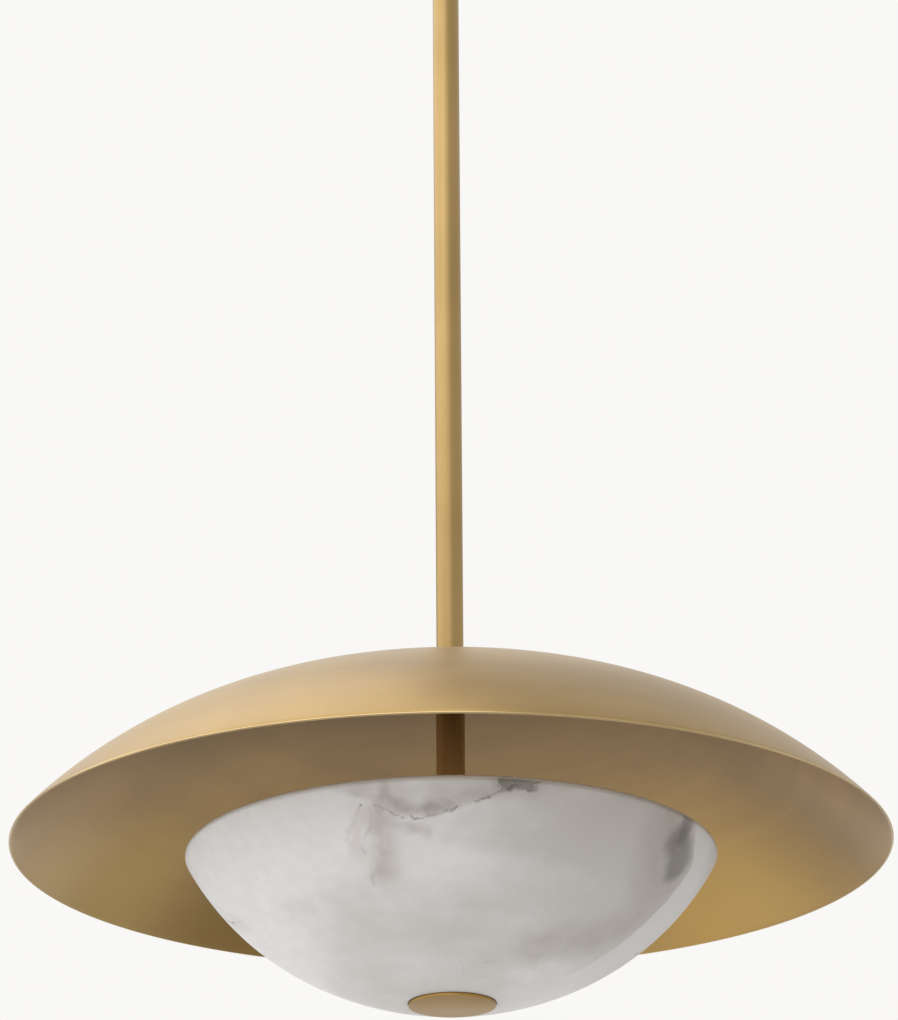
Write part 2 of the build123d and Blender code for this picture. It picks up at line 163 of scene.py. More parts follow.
# %% [markdown]
# ## A finish
# Each surface gets one material, built from Blender's Principled shader. What is the same all over
# a surface is written on the shader's own sockets, and only what varies arrives through nodes.
# %% A finish: a material and the nodes behind it
class Finish:
    """One material, whose Principled shader is set by socket name."""

    def __init__(self, name, colour, roughness, **constants):
        self.material = bpy.data.materials.new(name)
        self.material.use_nodes = True
        self.tree = self.material.node_tree
        self.shader = self.tree.nodes["Principled BSDF"]
        self.shader.inputs["Base Color"].default_value = (*colour, 1.0)
        self.shader.inputs["Roughness"].default_value = roughness
        for socket, value in constants.items():
            self.shader.inputs[socket.replace("_", " ")].default_value = value
        self.material.diffuse_color = (*colour, 1.0)

    def node(self, kind, settings=None, inputs=None, output=0):
        """Adds a node: its settings first, then the values or links of its sockets."""
        node = self.tree.nodes.new(kind)
        for name, value in (settings or {}).items():
            setattr(node, name, value)
        for name, value in (inputs or {}).items():
            if isinstance(value, Field):
                self.tree.links.new(value.socket, node.inputs[name])
            else:
                node.inputs[name].default_value = value
        return Field(self, node.outputs[output])

    def place(self):
        """Object coordinates, as a vector and as three numbers, in metres."""
        place = self.node("ShaderNodeTexCoord", output="Object")
        split = self.node("ShaderNodeSeparateXYZ", {}, {"Vector": place}).socket.node
        return place, [Field(self, split.outputs[axis]) for axis in "XYZ"]

    def vector(self, x, y, z):
        return self.node("ShaderNodeCombineXYZ", {}, {"X": x, "Y": y, "Z": z})

    def noise(self, vector, scale, detail=2.0, w=None, output=0):
        """Noise with features of about 1 / scale, in 4D where w is given."""
        inputs = {"Vector": vector, "Scale": scale, "Detail": detail}
        if w is not None:
            inputs["W"] = w
        settings = {"noise_dimensions": "3D" if w is None else "4D"}
        return self.node("ShaderNodeTexNoise", settings, inputs, output)

    def vector_maths(self, operation, first, second, output="Vector"):
        """A sum or measure of two vectors."""
        inputs = {0: first, 1: second}
        return self.node("ShaderNodeVectorMath", {"operation": operation}, inputs, output)

    def blend(self, amount, first, second):
        """A colour between two colours."""
        mix = self.node("ShaderNodeMix", {"data_type": "RGBA"}, {0: amount}, output=2)
        for index, colour in ((6, first), (7, second)):
            socket = mix.socket.node.inputs[index]
            if isinstance(colour, Field):
                self.tree.links.new(colour.socket, socket)
            else:
                socket.default_value = (*colour, 1.0)
        return mix

    def set(self, socket, field):
        self.tree.links.new(field.socket, self.shader.inputs[socket])
        return self

    def bump(self, height, distance, strength):
        """Raises the surface by a height field, with distance in metres."""
        inputs = {"Height": height, "Distance": distance, "Strength": strength}
        return self.set("Normal", self.node("ShaderNodeBump", {}, inputs))


# %% [markdown]
# ## A lathe
# Nearly every piece of this light was spun or turned on a lathe, and each is made the same way
# here. A profile is drawn with bmesh operators: a vertex is extruded for a straight run and spun
# about a centre for a round one. The finished profile is then spun once round the light's axis.
# Sharp rings are rounded afterwards with a bevel, as a turner breaks an edge with a file.
# %% A profile that can be drawn and turned
class Lathe:
    """A profile of (radius, height) points, drawn from its tip and turned about Z."""

    def __init__(self, r, z):
        self.bm = bmesh.new()
        self.tip = bmesh.ops.create_vert(self.bm, co=(r, 0, z))["vert"][0]
        self.first = self.tip

    def line(self, *points):
        """Straight runs through (radius, height) points."""
        for r, z in points:
            self.tip = bmesh.ops.extrude_vert_indiv(self.bm, verts=[self.tip])["verts"][0]
            bmesh.ops.translate(self.bm, verts=[self.tip], vec=Vector((r, 0, z)) - self.tip.co)
        return self

    def arc(self, centre, turn, steps):
        """A round run about a centre. Degrees are positive clockwise, with X to the right."""
        spun = bmesh.ops.spin(
            self.bm, geom=[self.tip], cent=(centre[0], 0, centre[1]), axis=(0, 1, 0),
            angle=radians(turn), steps=steps,
        )
        self.tip = spun["geom_last"][0]
        return self

    def turned(self, steps):
        """The profile closed and spun round Z, with its normals outward."""
        if max(self.tip.co.x, self.first.co.x) > 1e-6:
            bmesh.ops.contextual_create(self.bm, geom=[self.tip, self.first])
        bmesh.ops.spin(
            self.bm, geom=self.bm.verts[:] + self.bm.edges[:], cent=(0, 0, 0), axis=(0, 0, 1),
            angle=2 * pi, steps=steps, use_merge=True,
        )
        bmesh.ops.remove_doubles(self.bm, verts=self.bm.verts[:], dist=1e-6)
        bmesh.ops.dissolve_degenerate(self.bm, edges=self.bm.edges[:], dist=1e-7)
        bmesh.ops.recalc_face_normals(self.bm, faces=self.bm.faces[:])
        return self.bm


def broken(bm, offset, *rings, segments=2):
    """Rounds the edges on the rings given as (radius, height)."""
    for r, z in rings:
        def on_ring(vertex):
            return abs(vertex.co.xy.length - r) < 5e-5 and abs(vertex.co.z - z) < 5e-5
        edges = [edge for edge in bm.edges if on_ring(edge.verts[0]) and on_ring(edge.verts[1])]
        bmesh.ops.bevel(
            bm, geom=edges, offset=offset, segments=segments, affect="EDGES",
            profile=0.5, material=-1,
        )
    return bm


# %% [markdown]
# ## Handing a piece over
# A finished shape becomes an object that stands for a node of the model: it rides on the node's
# body, so that it moves with the joints, and hides the node. Edges sharper than a limit stay sharp,
# and all others are shaded smooth.
# %% Make a piece of a mesh
sharp_angle = radians(28)


def piece(name, bm, node, *finishes, pick=None):
    """An object in place of a CAD node, on its body. Pick gives a face's finish."""
    if pick:
        bm.normal_update()
        for face in bm.faces:
            face.material_index = pick(face)
    mesh = bpy.data.meshes.new(name)
    bm.to_mesh(mesh)
    bm.free()
    mesh.shade_smooth()
    mesh.set_sharp_from_angle(angle=sharp_angle)
    for finish in finishes:
        mesh.materials.append(finish.material)
    thing = bpy.data.objects.new(name, mesh)
    bpy.context.scene.collection.objects.link(thing)
    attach(thing, body_of[node])
    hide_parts(node)
    print(f"{name}: {len(mesh.polygons)} faces")


# %% [markdown]
# ## Satin brass
# The brass is spun, brushed and lightly aged. A metal has no colour but that of its reflections,
# so the finish is a muted gold and the studio's lamps make it light. The brush leaves fine lines
# round the dome and along the stem. A bitmap of scratches would show its tiles, so the lines are
# noise, stretched along the brush: round a dome, noise over the direction from the axis changes
# slowly, and noise over the radius and height changes fast. Larger, softer noise is the patina.
# Inside, a few wide spots are laid over the dome's brass: the dark ones are painted shade beside
# the bowl, and the light ones are painted light.
# %% Brass finishes
brush_scale = 900.0                # lines in a metre, across the brush
band_scale = 60.0
patina_scale = 7.0


def satin_brass(name, brushed, gold, brown, roughness, bump=0.00002, painted_light_shade_spots=()):
    """Brass brushed "round" the axis or "along" it.
    Spots of painted light and painted shade are given as (place, reach, tone, amount).
    """
    finish = Finish(name, gold, roughness, Metallic=1.0)
    place, (x, y, z) = finish.place()
    if brushed == "round":
        radius = (x * x + y * y).root() + 1e-5
        around = finish.vector(x / radius * 2.0, y / radius * 2.0, radius * brush_scale)
        lines = finish.noise(around, 1.0, 3.0, w=z * brush_scale)
        broad = finish.vector(x / radius, y / radius, radius * band_scale)
        bands = finish.noise(broad, 1.0, 3.0, w=z * band_scale)
    else:
        lines = finish.noise(finish.vector(x * brush_scale, y * brush_scale, z * 8.0), 1.0, 3.0)
        bands = finish.noise(finish.vector(x * 40.0, y * 40.0, z * 4.0), 1.0, 3.0)
    patina = finish.noise(place, patina_scale, 5.0)
    tone = (patina * 0.80 + bands * 0.25 + lines * 0.18).ramp(0.42, 0.82)
    colour = finish.blend(tone, brown, gold)
    # Spots of painted light and painted shade: each lays its tone over the brass near its middle.
    for middle, reach, painted_tone, amount in painted_light_shade_spots:
        away = finish.vector_maths("DISTANCE", place, middle, "Value")
        colour = finish.blend(away.ramp(reach, 0.0) * amount, colour, painted_tone)
    finish.set("Base Color", colour)
    finish.set("Roughness", roughness - 0.07 + lines * 0.06 + patina * 0.08)
    return finish.bump(lines, bump, 0.3)


gold = (0.355, 0.236, 0.090)
brown = (0.280, 0.182, 0.066)
# Spots inside the dome: the two dark ones are painted shade beside the bowl, and the others are
# painted light.
dome_inside_painted_light_shade = [
    ((-0.165, 0.245, -0.771), 0.105, (0.205, 0.130, 0.040), 0.70),
    ((-0.120, 0.270, -0.772), 0.090, (0.205, 0.130, 0.040), 0.45),
    ((-0.240, 0.150, -0.759), 0.100, (0.500, 0.350, 0.115), 0.60),
    ((-0.280, 0.090, -0.768), 0.080, (0.560, 0.400, 0.190), 0.70),
    ((0.235, 0.170, -0.766), 0.150, (0.490, 0.320, 0.100), 0.55),
    ((0.180, 0.235, -0.772), 0.120, (0.500, 0.320, 0.095), 0.60),
    ((0.0, -0.290, -0.773), 0.180, (0.500, 0.335, 0.165), 0.60),
    ((-0.230, -0.190, -0.770), 0.160, (0.530, 0.355, 0.180), 0.60),
    ((0.230, -0.190, -0.770), 0.160, (0.500, 0.340, 0.180), 0.60),
]
dome_brass = satin_brass("dome_brass", "round", gold, brown, 0.37)
# The inside is a paler, lighter copy of the brass, as painted light for the shaded inside, with the
# spots of painted light and shade over it.
inner_brass_painted_light_and_shade = satin_brass(
    "inner_brass_painted_light_and_shade", "round", (0.393, 0.260, 0.118), (0.294, 0.194, 0.093), 0.36,
    bump=0.00001, painted_light_shade_spots=dome_inside_painted_light_shade,
)
# The rim's lighter brass is a painted highlight: the thin bright line along the filed edge.
rim_brass_painted_highlight = satin_brass("rim_brass_painted_highlight", "round", (0.54, 0.405, 0.215), (0.44, 0.325, 0.165), 0.26)
finial_brass = satin_brass(
    "finial_brass", "round", (0.388, 0.238, 0.073), (0.332, 0.202, 0.059), 0.36,
)
stem_brass = satin_brass("stem_brass", "along", (0.368, 0.252, 0.106), (0.304, 0.206, 0.083), 0.40)
spacer_brass = satin_brass("spacer_brass", "along", (0.52, 0.37, 0.21), (0.42, 0.30, 0.16), 0.40)
turned_brass = satin_brass("turned_brass", "round", gold, brown, 0.32)

# %% [markdown]
# ## Two arcs that meet smoothly
# The dome and the bowl have the same kind of profile: a flat arc centred on the axis, running
# tangent into a tighter arc that ends at the edge. From the end of the first arc and the edge,
# the tighter arc's centre follows: it lies on the line back to the first centre.
# %% The tangent arc
def tangent_arc(apex_z, crown_radius, reach, edge_r, edge_z):
    """The crown's centre height and half angle; the other arc's centre, radius and end angle."""
    up = 1 if apex_z > edge_z else -1
    half_angle = asin(reach / crown_radius)
    centre_z = apex_z - up * crown_radius
    outward = Vector((sin(half_angle), up * cos(half_angle)))
    meeting = Vector((0, centre_z)) + crown_radius * outward
    chord = Vector((edge_r, edge_z)) - meeting
    radius = -chord.length_squared / (2 * chord.dot(outward))
    centre = meeting - radius * outward
    end_angle = asin((edge_r - centre.x) / radius)
    return centre_z, degrees(half_angle), centre, radius, degrees(end_angle)


# %% [markdown]
# ## The dome
# A disc of brass is spun over a form into the dome, then its rim is trimmed and broken with a
# file. The profile goes out along the crown and shoulder, round the rim, and back inside. The faces
# that look down have a finish of their own: a paler, lighter copy of the brass that paints light
# into the shaded inside, with spots of painted light and shade. The rim has its own lighter brass,
# a painted highlight for the thin bright line along it.
# %% Spin the dome
dome_crown_radius = 0.770
dome_crown_reach = 0.083
dome_sheet = 0.0015
dome_flat = 0.026                  # radius of the clamped flat round the stem
dome_hole = 0.0052                 # radius of the hole for the lamp pipe
crown_steps, shoulder_steps, rim_steps = 10, 56, 4

dome_top = top_of("dome")
dome_radius = radius_of("dome")
apex_z = dome_top + dome_crown_radius - sqrt(dome_crown_radius ** 2 - dome_flat ** 2)
crown_z, crown_angle, shoulder, shoulder_radius, rim_angle = tangent_arc(
    apex_z, dome_crown_radius, dome_crown_reach, dome_radius, mouth_z,
)
flat_angle = degrees(asin(dome_flat / dome_crown_radius))
rim_angle -= degrees(dome_sheet / 2 / shoulder_radius)

profile = Lathe(dome_hole, dome_top).line((dome_flat, dome_top))
profile.arc((0, crown_z), crown_angle - flat_angle, crown_steps)
profile.arc(shoulder, rim_angle - crown_angle, shoulder_steps)
edge = profile.tip.co.xz
rim_centre = edge + (shoulder - edge).normalized() * dome_sheet / 2
profile.arc(rim_centre, 180, rim_steps)
profile.arc(shoulder, crown_angle - rim_angle, shoulder_steps)
profile.arc((0, crown_z), flat_angle - crown_angle, crown_steps)
profile.line((dome_hole, profile.tip.co.z))


def dome_face(face):
    """0 outside, 1 inside and 2 on the rim."""
    centre = face.calc_center_median()
    if (Vector((centre.xy.length, centre.z)) - rim_centre).length < 0.55 * dome_sheet:
        return 2
    return 0 if face.normal.z > 0 else 1


piece("spun_dome", profile.turned(192), "dome", dome_brass, inner_brass_painted_light_and_shade, rim_brass_painted_highlight, pick=dome_face)


# %% [markdown]
# ## The stem and the spacer tube
# Both are drawn brass tube, brushed along their length. A saw leaves a sharp end, so the ends are
# broken with a file. The spacer tube holds the bowl's stack at the right depth below the dome.
# %% Draw the tubes
stem_wall = 0.0012
spacer_wall = 0.0015
file_stroke = 0.0003               # how much a file takes off a tube's end or a sheet's edge


def tube(name, node, wall, finish):
    """A fine round tube in place of a CAD tube."""
    radius, top, foot = radius_of(node), top_of(node), foot_of(node)
    profile = Lathe(radius, foot).line((radius, top), (radius - wall, top), (radius - wall, foot))
    bm = broken(profile.turned(96), file_stroke, (radius, top), (radius, foot))
    piece(name, bm, node, finish)


tube("stem_tube", "stem", stem_wall, stem_brass)
tube("spacer_sleeve", "spacer_tube", spacer_wall, spacer_brass)

# %% [markdown]
# ## The bowl's profile
# Like the dome, the bowl is two tangent arcs outside, and the same two set in by the wall inside.
# The stone's markings are placed by where they lie on this wall, so its arcs are found first.
# %% The bowl's arcs
bowl_floor_radius = 0.221
bowl_floor_reach = 0.103
bowl_wall = 0.010
bowl_corner = 0.1858               # radius of the lip's sharp corner before rounding
bowl_lip_round = 0.0035
bowl_inner_round = 0.0025
bowl_recess = 0.0305               # radius of the shallow recess underneath
bowl_seat = 0.031                  # radius of the flat inside
bowl_hole = 0.009

lip_z = top_of("bowl")
low_z = foot_of("finial")
floor_z = low_z + bowl_wall
floor_centre, floor_angle, side, side_radius, _ = tangent_arc(
    low_z, bowl_floor_radius, bowl_floor_reach, bowl_corner, lip_z,
)
print(f"bowl: side arc {side_radius:.4f} m, low point {low_z:.4f} m")

# %% [markdown]
# ## Alabaster
# Alabaster is a soft milky stone with clouds, grey washes and thin broken cracks, and light sinks a
# little way into it. A marble texture would be regular, so the stone is built up as it looks: a
# cloudy ground that also darkens towards the right as painted shade, faint cracks where a slow
# noise crosses its middle value, and then the large features of this bowl. Each of those is a line
# through a few places on the bowl's wall, and the distance from it gives a crack, a wash or a
# blotch. The places are first pushed about by noise, so that no line is straight and no blotch is
# round.
# %% Distances in the stone
def pushed(finish, place, scale, by, detail=3.0):
    """A place moved at random by up to about a half of by, in metres."""
    push = finish.noise(place, scale, detail, output="Color")
    centred = finish.vector_maths("SUBTRACT", push, (0.5, 0.5, 0.5))
    scaled = finish.node("ShaderNodeVectorMath", {"operation": "SCALE"}, {0: centred, "Scale": by})
    return finish.vector_maths("ADD", place, scaled)


def from_run(finish, place, start, end):
    """The distance from the straight run between two places."""
    run = end - start
    offset = finish.vector_maths("SUBTRACT", place, tuple(start))
    share = finish.vector_maths("DOT_PRODUCT", offset, tuple(run / run.length_squared), "Value")
    inputs = {0: tuple(run), "Scale": share.most(0.0).least(1.0)}
    reached = finish.node("ShaderNodeVectorMath", {"operation": "SCALE"}, inputs)
    return finish.vector_maths("DISTANCE", offset, reached, "Value")


def on_wall(azimuth, below_lip):
    """A place on the outer wall: degrees to the right of the front, millimetres below the lip."""
    z = lip_z - below_lip / 1000
    r = side.x + sqrt(side_radius ** 2 - (z - side.y) ** 2)
    return Vector((r * sin(radians(azimuth)), -r * cos(radians(azimuth)), z))


# %% [markdown]
# ## The markings of this bowl
# Each line below is a list of places on the wall, in degrees to the right of the front and
# millimetres below the lip. The front's follow the photograph. The back can't be seen in it, so
# its cracks are made up in the same manner.
# %% Colours and lines of the stone
crack_dark = (0.150, 0.132, 0.118)
wash_grey = (0.445, 0.398, 0.370)
pocket_grey = (0.325, 0.280, 0.255)
patch_green = (0.190, 0.185, 0.155)
blotch_grey = (0.195, 0.178, 0.158)
halo_brown = (0.395, 0.352, 0.312)
rose = (0.500, 0.438, 0.400)
cool_white = (0.825, 0.818, 0.818)
# A darker, warmer tone for the clouds, which also serves as painted shade on the right side.
cloud_and_shade_tone = (0.605, 0.578, 0.556)

main_crack = [
    (-19.4, 15.6), (-17.6, 15.5), (-14.8, 18.5), (-10.9, 23.8), (-6.3, 27.2), (-2.0, 23.0),
    (2.0, 20.8), (6.6, 15.5), (9.9, 9.4), (13.0, 7.5), (18.7, 3.4),
]
pocket = [(-13.0, 17.0), (-9.5, 20.5), (-5.0, 21.5), (-1.0, 18.5)]
smudge = [(-14.0, 5.0), (-14.0, 11.5), (-15.5, 17.0)]
patch = [(11.2, 5.1), (14.0, 5.2), (16.7, 7.0)]
left_fissure = [(-19.4, 15.6), (-21.2, 22.6), (-23.8, 28.7), (-25.4, 35.5)]
right_fissure = [
    (-17.6, 15.5), (-18.0, 24.6), (-17.8, 30.3), (-21.0, 34.6), (-21.2, 42.3), (-21.9, 59.8),
]
curtain = [(-20.0, 20.0), (-22.0, 31.0), (-23.5, 44.0)]
curtain_wash = [(-15.5, 21.0), (-16.0, 36.0), (-18.0, 52.0)]
blue_smear = [(-12.6, 27.3), (-10.0, 30.0)]
smear = [(-8.5, 31.5), (-5.5, 33.5)]
edge_blotch = [(60.5, 3.0), (61.5, 7.0), (61.5, 14.0)]
round_blotch = [(60.5, 17.0), (63.5, 22.0), (66.0, 29.0)]
halo = [(55.0, 8.0), (56.0, 24.0), (60.0, 38.0)]
side_wash = [(70.0, 34.0), (69.0, 50.0), (66.0, 66.0), (58.0, 78.0), (42.0, 86.0)]
back_crack = [(150, 4), (158, 20), (172, 30), (186, 24), (197, 40), (206, 55), (215, 58)]
back_branch = [(172, 30), (176, 48), (171, 66), (180, 80)]
left_crack = [(-118, 3), (-112, 18), (-101, 26), (-96, 43), (-84, 52)]
right_crack = [(96, 70), (104, 52), (117, 40), (121, 22), (130, 8)]
sheen_band_angle = radians(72)            # where a painted sheen band starts on the right

# %% [markdown]
# ## Laying the stone's colours
# The washes are laid one over another, the widest and faintest first and the cracks last, as a
# scene painter would. `near` turns the distance from a line into an amount between 0 and 1, and
# `wash` lays one colour over what is there by such an amount.
# %% The stone
def alabaster():
    finish = Finish(
        "alabaster", cool_white, 0.42, Subsurface_Weight=0.32, Subsurface_Scale=0.010, IOR=1.52,
        Subsurface_Radius=(1.0, 0.85, 0.7),
    )
    place, (x, y, z) = finish.place()
    wavy = pushed(finish, place, 45.0, 0.010, 2.0)
    rough = pushed(finish, wavy, 240.0, 0.0042)
    speckle = finish.noise(place, 330.0, 3.0)

    def near(stops, inner, outer, wanderer=rough, ragged=0.0):
        """1 within inner millimetres of a line on the wall, falling to 0 at outer."""
        walls = [on_wall(*stop) for stop in stops]
        distance = from_run(finish, wanderer, walls[0], walls[1])
        for start, end in zip(walls[1:], walls[2:]):
            distance = distance.least(from_run(finish, wanderer, start, end))
        return ((speckle - 0.5) * ragged + distance * 1000.0).ramp(outer, inner)

    def wash(amount, tone):
        """Lays a tone over the colours so far."""
        nonlocal colour
        colour = finish.blend(amount, colour, tone)

    clouds = finish.noise(place, 9.0, 6.0)
    layers = finish.noise(finish.vector(x * 6.0, y * 6.0, z * 34.0), 1.0, 5.0)
    mottle = finish.noise(wavy, 90.0, 4.0)
    grain = mottle.ramp(0.30, 0.70)
    # Painted shade: along with the clouds and layers, the x term darkens the ground towards the
    # right side, away from the lamp on the left.
    clouds_and_right_shade = (clouds * 0.7 + layers * 0.5 + x * 1.7).ramp(0.38, 0.76)
    colour = finish.blend(clouds_and_right_shade, cool_white, cloud_and_shade_tone)
    wash(grain * 0.16, (0.57, 0.55, 0.54))

    breaks = finish.noise(wavy, 14.0, 3.0)
    hidden = finish.noise(place, 6.0, 1.0).ramp(0.52, 0.66)
    wash(abs(breaks - 0.5).ramp(0.014, 0.0) * hidden * 0.30, wash_grey)

    above = (z - (lip_z - 0.025) - abs(x + 0.012) * 0.28).ramp(-0.002, 0.003)
    wash(near(main_crack, 2, 26, wavy) * above * (grain * 0.30 + 0.38), wash_grey)
    wash(near(pocket, 0, 8, wavy) * (grain * 0.30 + 0.30), pocket_grey)
    wash(near(smudge, 0, 8, wavy) * (grain * 0.20 + 0.28), halo_brown)
    wash(near(curtain_wash, 1, 17, wavy) * (grain * 0.24 + 0.46), rose)
    wash(near(curtain, 1, 9) * 0.40, (0.640, 0.580, 0.545))
    wash(near(blue_smear, 0, 7) * 0.34, (0.43, 0.42, 0.42))
    wash(near(smear, 0, 7) * 0.42, (0.42, 0.36, 0.325))
    far_wash = near(back_crack, 0, 26, wavy).most(near(left_crack, 0, 18, wavy))
    wash(far_wash * (grain * 0.22 + 0.16), wash_grey)

    # Painted sheen: a lighter band along the right side of the bowl stands for the lamps'
    # reflection at a grazing angle, and the blotches stop at its edge.
    lean = (lip_z - z).ramp(0.002, 0.030) * 0.030 - 0.024
    unevenness = (mottle - 0.5) * 0.006 + (speckle - 0.5) * 0.002
    beyond = x * cos(sheen_band_angle) + y * sin(sheen_band_angle) - lean + unevenness
    behind = beyond.ramp(0.0006, -0.0012)
    painted_sheen_band = beyond.ramp(-0.0006, 0.0012) * beyond.ramp(0.060, 0.020) * x.ramp(0.02, 0.06)
    wash(painted_sheen_band * 0.7, (0.72, 0.715, 0.71))
    wash(near(side_wash, 2, 34, wavy) * behind * (grain * 0.14 + 0.40), halo_brown)
    wash(near(halo, 4, 36, wavy) * behind * (grain * 0.14 + 0.40), halo_brown)
    wash(near(round_blotch, 6, 19, wavy) * behind * 0.80, blotch_grey)
    wash(near(edge_blotch, 3, 11, wavy) * behind * 0.62, (0.130, 0.115, 0.105))

    wash(near(patch, 2, 17, wavy) * 0.30, halo_brown)
    wash(near(patch, 3.2, 6.8, rough, 7.0) * (grain * 0.20 + 0.70), patch_green)

    broken_up = finish.noise(place, 60.0, 3.0).ramp(0.30, 0.62)
    cracks = near(main_crack, 0.2, 1.5, rough, 1.6) * (broken_up * 0.50 + 0.35)
    cracks = cracks.most(near(left_fissure, 0.2, 2.2) * broken_up * 0.16)
    cracks = cracks.most(near(right_fissure, 0.2, 2.0) * (broken_up * 0.12 + 0.12))
    for stops in (back_crack, back_branch, left_crack, right_crack):
        cracks = cracks.most(near(stops, 0.2, 1.5, rough, 1.6) * broken_up * 0.75)
    wash(cracks * 0.8, crack_dark)

    wash(speckle.ramp(0.66, 0.76) * 0.25, (0.86, 0.86, 0.86))
    # Painted light: just under the top of the lip the stone is lightened towards white, against the
    # shade that the dome casts on the lip.
    wash((z - lip_z).ramp(-0.0038, -0.0010) * 0.8, (0.93, 0.91, 0.88))
    finish.set("Base Color", colour)
    finish.set("Roughness", mottle * 0.12 + cracks * 0.2 + 0.38)
    return finish.bump(mottle * 0.2 + speckle * 0.2 - cracks, 0.00012, 0.5)


stone = alabaster()

# %% [markdown]
# ## The bowl
# The bowl is turned from one block: two arcs outside, the same two set in by the wall, a rounded
# lip, a flat seat inside and a shallow recess below for the finial. The lip's two roundings are
# arcs that touch both the flat top and the wall, so their centres are worked out from the wall's.
# %% Turn the bowl
recess_z = top_of("lower_gasket")


def lip_arc(wall_radius, rounding):
    """A lip rounding's centre, and the angle where it leaves the wall. Outward is positive."""
    centre_z = lip_z - abs(rounding)
    reach = wall_radius - rounding
    centre_r = side.x + sqrt(reach ** 2 - (side.y - centre_z) ** 2)
    return (centre_r, centre_z), degrees(asin((centre_r - side.x) / reach))


outer_centre, outer_angle = lip_arc(side_radius, bowl_lip_round)
inner_centre, inner_angle = lip_arc(side_radius - bowl_wall, -bowl_inner_round)
recess_angle = degrees(asin(bowl_recess / bowl_floor_radius))
seat_angle = degrees(asin(bowl_seat / (bowl_floor_radius - bowl_wall)))

floor_steps, side_steps = 18, 34
recess_edge = floor_centre - bowl_floor_radius * cos(radians(recess_angle))

profile = Lathe(bowl_hole, recess_z)
profile.line((bowl_recess, recess_z), (bowl_recess, recess_edge))
profile.arc((0, floor_centre), recess_angle - floor_angle, floor_steps)
profile.arc(side, floor_angle - outer_angle, side_steps)
profile.arc(outer_centre, outer_angle - 180, 8)
profile.line((inner_centre[0], lip_z))
profile.arc(inner_centre, -inner_angle, 6)
profile.arc(side, inner_angle - floor_angle, side_steps)
profile.arc((0, floor_centre), floor_angle - seat_angle, floor_steps)
profile.line((bowl_seat, floor_z), (bowl_hole, floor_z))
piece("alabaster_bowl", profile.turned(192), "bowl", stone)

# %% [markdown]
# ## The finial
# A plain turned disc with a boss behind it, tapped for the lamp pipe. It is the one nut that the
# owner undoes by hand to lower the bowl, so its edge is rounded more than the others.
# %% Turn the finial
finial_radius = radius_of("finial")
finial_thickness = 0.0026
boss_radius = 0.008
thread_radius = 0.00505            # of every hole tapped for the lamp pipe
thread_floor = 0.0015              # brass left under the tapped hole
finial_round = 0.0005
disc_top = low_z + finial_thickness
boss_top = top_of("finial")
rings = (finial_radius, low_z), (finial_radius, disc_top)
profile = Lathe(0, low_z).line(
    *rings, (boss_radius, disc_top), (boss_radius, boss_top),
    (thread_radius, boss_top), (thread_radius, low_z + thread_floor), (0, low_z + thread_floor),
)
bm = broken(profile.turned(128), finial_round, *rings, segments=3)
piece("finial_disc", bm, "finial", finial_brass)

# %% [markdown]
# ## The canopy
# A shallow spun dish against the ceiling, brushed round like the dome. It hides the crossbar and
# the wires' joints. Its corner is an arc as wide as the form's corner that the disc was spun over.
# %% Spin the canopy
canopy_radius = radius_of("canopy")
canopy_sheet = 0.0012
canopy_round = 0.005
canopy_hole = 0.0206
canopy_z = foot_of("canopy")
corner = (canopy_radius - canopy_round, canopy_z + canopy_round)
profile = Lathe(canopy_hole, canopy_z).line((corner[0], canopy_z)).arc(corner, -90, 8)
canopy_inside = canopy_radius - canopy_sheet
profile.line((canopy_radius, 0), (canopy_inside, 0), (canopy_inside, corner[1]))
profile.arc(corner, 90, 8).line((canopy_hole, canopy_z + canopy_sheet))
bm = broken(profile.turned(160), file_stroke, (canopy_radius, 0), (canopy_hole, canopy_z))
piece("spun_canopy", bm, "canopy", dome_brass)

# %% [markdown]
# ## The collar
# The collar screws up by hand and holds the canopy, so its grip is knurled. A knurl is a grid of
# small pads: the band's faces are inset one by one and raised.
# %% Turn the collar and its knurl
swivel_z = (top_of("swivel_liner") + foot_of("swivel_liner")) / 2
collar_radius = radius_of("swivel_collar")
collar_top = top_of("swivel_collar")
collar_foot = foot_of("swivel_collar")
collar_bore = 0.02005
seat_radius = 0.0167
mouth_radius = 0.0125
mouth_flare = 0.0025
collar_round = 0.0015
skirt = 0.007                      # below the ball's centre
knurl_depth = 0.0004
knurl_gap = 0.00022                # half the groove between two pads
knurl_rows = 5
knurl_columns = 120

knurl_top = collar_top - 0.0020
knurl_foot = collar_foot + 0.0045
groove = collar_radius - knurl_depth
mouth_angle = degrees(acos(mouth_radius / seat_radius))
shelf_angle = degrees(asin(skirt / seat_radius))
corner = (collar_radius - collar_round, collar_foot + collar_round)

profile = Lathe(mouth_radius, collar_foot + mouth_flare)
profile.line((mouth_radius + mouth_flare, collar_foot), (corner[0], collar_foot))
profile.arc(corner, -90, 5).line((collar_radius, knurl_foot - knurl_depth))
row = (knurl_top - knurl_foot) / knurl_rows
profile.line(*[(groove, knurl_foot + k * row) for k in range(knurl_rows + 1)])
profile.line((collar_radius, knurl_top + knurl_depth), (collar_radius, collar_top))
profile.line((collar_bore, collar_top), (collar_bore, swivel_z - skirt))
profile.line((seat_radius * cos(radians(shelf_angle)), swivel_z - skirt))
profile.arc((0, swivel_z), mouth_angle - shelf_angle, 6)
bm = profile.turned(knurl_columns)


def in_groove(face):
    return all(abs(vertex.co.xy.length - groove) < 1e-5 for vertex in face.verts)


